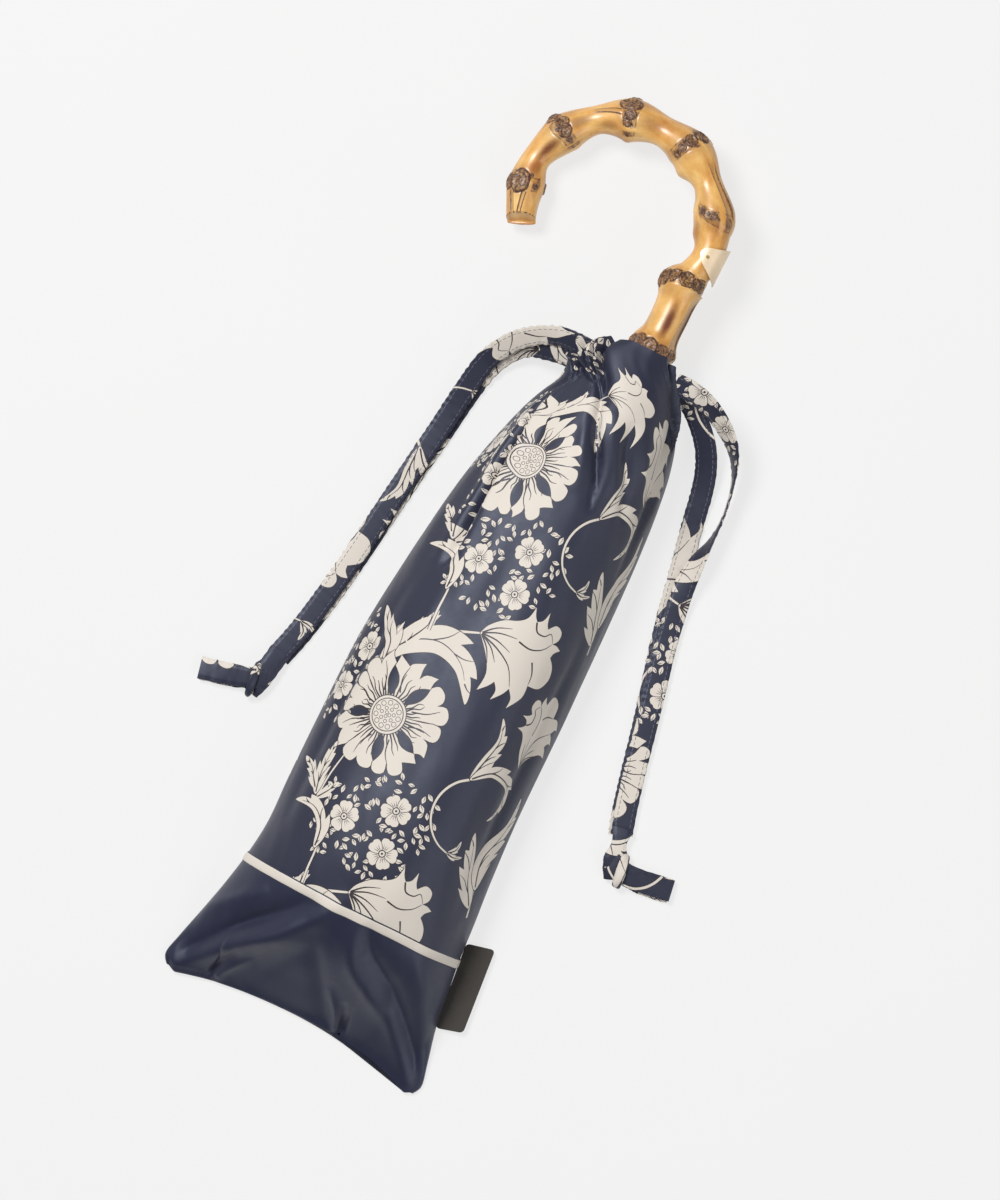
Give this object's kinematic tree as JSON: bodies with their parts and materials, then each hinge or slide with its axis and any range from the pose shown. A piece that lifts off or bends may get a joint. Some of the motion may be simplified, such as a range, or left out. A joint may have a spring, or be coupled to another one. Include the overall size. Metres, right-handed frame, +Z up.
{
  "type": "folding umbrella",
  "caption": "Folding umbrella with a bamboo crook handle and telescoping shaft, lying in a printed drawstring pouch that slides off.",
  "frame": {"origin": "on the flat underside of the pouch, below the shaft's axis, a little short of the middle of the pouch's length", "axes": "+Y along the shaft towards the handle, +Z up from the surface that the object lies on, and the crook curls towards -X"},
  "size_m": [0.2218, 0.4181, 0.046],
  "materials": {
    "bamboo": "glossy lacquer over natural bamboo",
    "pale_gold": "polished pale gold plate",
    "steel": "plated steel tube and rib stock",
    "black_plastic": "satin moulded plastic",
    "print_fabric": "navy polyester with a cream floral print",
    "navy_fabric": "plain navy polyester",
    "cream_fabric": "cream tape",
    "label_fabric": "woven dark olive label, blank"
  },
  "bodies": {
    "frame_and_canopy": {"outer_tube": "steel", "runner": "black_plastic", "runner_wire": "steel", "crown": "black_plastic", "crown_wire": "steel", "stretcher_1": "steel", "stretcher_2": "steel", "stretcher_3": "steel", "stretcher_4": "steel", "stretcher_5": "steel", "stretcher_6": "steel", "inner_rib_1": "steel", "inner_rib_2": "steel", "inner_rib_3": "steel", "inner_rib_4": "steel", "inner_rib_5": "steel", "inner_rib_6": "steel", "middle_rib_1": "steel", "middle_rib_2": "steel", "middle_rib_3": "steel", "middle_rib_4": "steel", "middle_rib_5": "steel", "middle_rib_6": "steel", "outer_rib_1": "steel", "outer_rib_2": "steel", "outer_rib_3": "steel", "outer_rib_4": "steel", "outer_rib_5": "steel", "outer_rib_6": "steel", "canopy_folded": "print_fabric", "closing_strap": "print_fabric", "stud_cap": "pale_gold", "stud_socket": "pale_gold", "tip_cap": "black_plastic", "tip_washer": "steel"},
    "middle_shaft": {"middle_tube": "steel"},
    "handle": {"bamboo_handle": "bamboo", "handle_plate": "pale_gold", "plate_pin": "pale_gold", "handle_ferrule": "pale_gold", "handle_pin": "steel", "inner_tube": "steel"},
    "runner_catch_button": {"runner_catch": "steel"},
    "middle_catch_button": {"middle_tube_catch": "steel"},
    "inner_catch_button": {"inner_tube_catch": "steel"},
    "pouch": {"pouch_body": "print_fabric", "pouch_mouth": "print_fabric", "pouch_piping": "cream_fabric", "pouch_hem": "navy_fabric", "pouch_label": "label_fabric", "tie_left_upper": "print_fabric", "tie_left_lower": "print_fabric", "tie_left_knot": "print_fabric", "tie_right_outer": "print_fabric", "tie_right_inner": "print_fabric", "tie_right_knot": "print_fabric"}
  },
  "joints": [
    {"name": "pouch_slide", "type": "slide", "parent": "frame_and_canopy", "child": "pouch", "axis": [0, -1, 0], "range_m": [0, 0.3], "deforming": ["pouch_mouth"]},
    {"name": "middle_tube_slide", "type": "slide", "parent": "frame_and_canopy", "child": "middle_shaft", "axis": [0, 1, 0], "range_m": [0, 0.15]},
    {"name": "handle_slide", "type": "slide", "parent": "middle_shaft", "child": "handle", "axis": [0, 1, 0], "range_m": [0, 0.145]},
    {"name": "runner_catch_press", "type": "slide", "parent": "frame_and_canopy", "child": "runner_catch_button", "axis": [-1, 0, 0], "range_m": [0, 0.0012], "stiffness_N_per_m": 300, "springref_m": -0.002},
    {"name": "middle_catch_press", "type": "slide", "parent": "middle_shaft", "child": "middle_catch_button", "axis": [-1, 0, 0], "range_m": [0, 0.0008], "stiffness_N_per_m": 300, "springref_m": -0.002},
    {"name": "inner_catch_press", "type": "slide", "parent": "handle", "child": "inner_catch_button", "axis": [-1, 0, 0], "range_m": [0, 0.0006], "stiffness_N_per_m": 300, "springref_m": -0.002}
  ]
}
